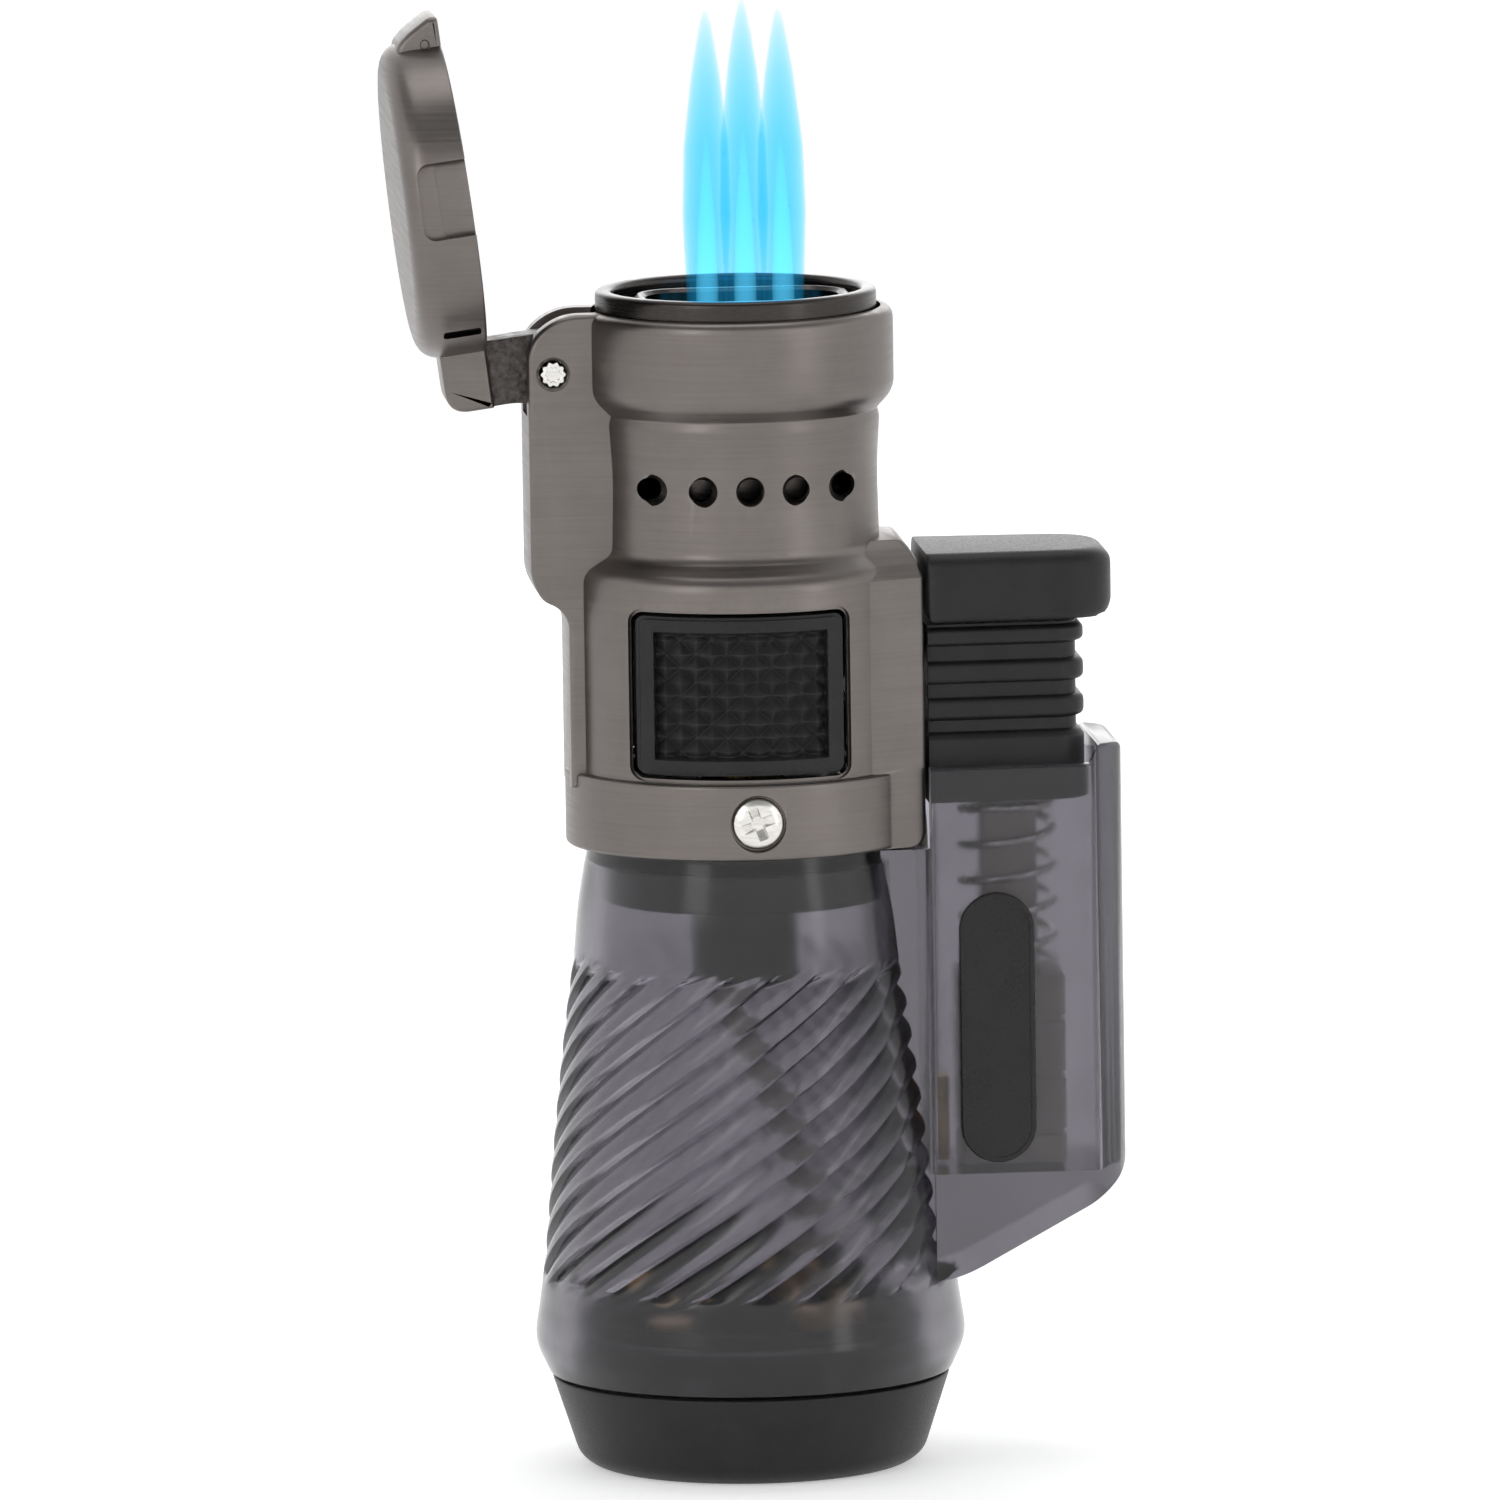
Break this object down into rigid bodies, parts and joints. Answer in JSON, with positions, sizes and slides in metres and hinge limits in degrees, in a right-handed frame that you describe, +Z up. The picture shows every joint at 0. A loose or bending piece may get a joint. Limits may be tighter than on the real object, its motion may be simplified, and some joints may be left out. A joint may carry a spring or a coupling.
{
  "type": "torch lighter",
  "caption": "Pocket jet-flame butane lighter with a round smoky tank, cast metal head, flip lid on a rear hinge and a ribbed side plunger.",
  "frame": {"origin": "centre of the flat base, on the axis of the round body", "axes": "+Z up the body towards the flame, +X from the hinge towards the plunger, -Y is the front with the badge"},
  "size_m": [0.0516, 0.0306, 0.1028],
  "materials": {
    "gunmetal": "satin gunmetal plating with fine brushing",
    "dark_metal": "dark plated casting",
    "bright_steel": "bright nickel plate",
    "brass": "turned brass",
    "smoky_plastic": "translucent smoke-grey moulded plastic, lightly grained",
    "black_plastic": "fine moulded grain",
    "black_rubber": "matte moulded rubber",
    "pale_plastic": "natural moulded plastic"
  },
  "bodies": {
    "body": {"tank_shell": "smoky_plastic", "base_cap": "black_plastic", "base_seal": "black_rubber", "fuel_valve": "brass", "fuel_valve_seal": "black_rubber", "regulator_body": "brass", "gas_tube": "pale_plastic", "tank_plug": "black_plastic", "valve_housing": "black_plastic", "gas_valve": "brass", "lever_pin": "bright_steel", "gas_hose": "pale_plastic", "head_housing": "gunmetal", "front_grip_pad": "black_rubber", "rear_grip_pad": "black_rubber", "front_screw": "bright_steel", "rear_screw": "bright_steel", "hinge_pin": "bright_steel", "detent_spring": "bright_steel", "rim_ring": "dark_metal", "flame_guard": "dark_metal", "burner_block": "dark_metal", "jet_nozzle_1": "brass", "jet_nozzle_2": "brass", "jet_nozzle_3": "brass", "electrode_insulator": "pale_plastic", "spark_electrode": "bright_steel", "spark_case": "pale_plastic", "contact_strip": "brass", "spark_lead": "pale_plastic", "return_spring": "bright_steel", "badge": "black_plastic"},
    "lid": {"lid": "gunmetal", "lid_arm": "dark_metal"},
    "plunger": {"plunger_cap": "black_plastic", "plunger_stem": "black_plastic", "spark_slider": "pale_plastic"},
    "rocker": {"valve_lever": "bright_steel"},
    "stem": {"valve_stem": "brass"},
    "dial": {"flame_dial": "black_plastic", "regulator_stem": "brass"}
  },
  "joints": [
    {"name": "lid_hinge", "type": "hinge", "parent": "body", "child": "lid", "pos_m": [-0.01315, 0, 0.07765], "axis": [0, 1, 0], "range_deg": [0, 97.5]},
    {"name": "plunger_slide", "type": "slide", "parent": "body", "child": "plunger", "axis": [0, 0, -1], "range_m": [0, 0.008], "stiffness_N_per_m": 500, "springref_m": -0.004, "deforming": ["return_spring"]},
    {"name": "rocker_pivot", "type": "hinge", "parent": "body", "child": "rocker", "pos_m": [0.0094, 0, 0.0552], "axis": [0, 1, 0], "range_deg": [0, 8]},
    {"name": "stem_lift", "type": "slide", "parent": "body", "child": "stem", "axis": [0, 0, 1], "range_m": [0, 0.0014], "deforming": ["gas_hose"]},
    {"name": "dial_turn", "type": "hinge", "parent": "body", "child": "dial", "pos_m": [0.0056, 0, 0], "axis": [0, 0, 1], "range_deg": [-150, 150]}
  ],
  "couplings": [
    {"joint": "rocker_pivot", "follows": "plunger_slide", "rad_per_m": 17.2},
    {"joint": "stem_lift", "follows": "plunger_slide", "ratio": 0.16}
  ]
}
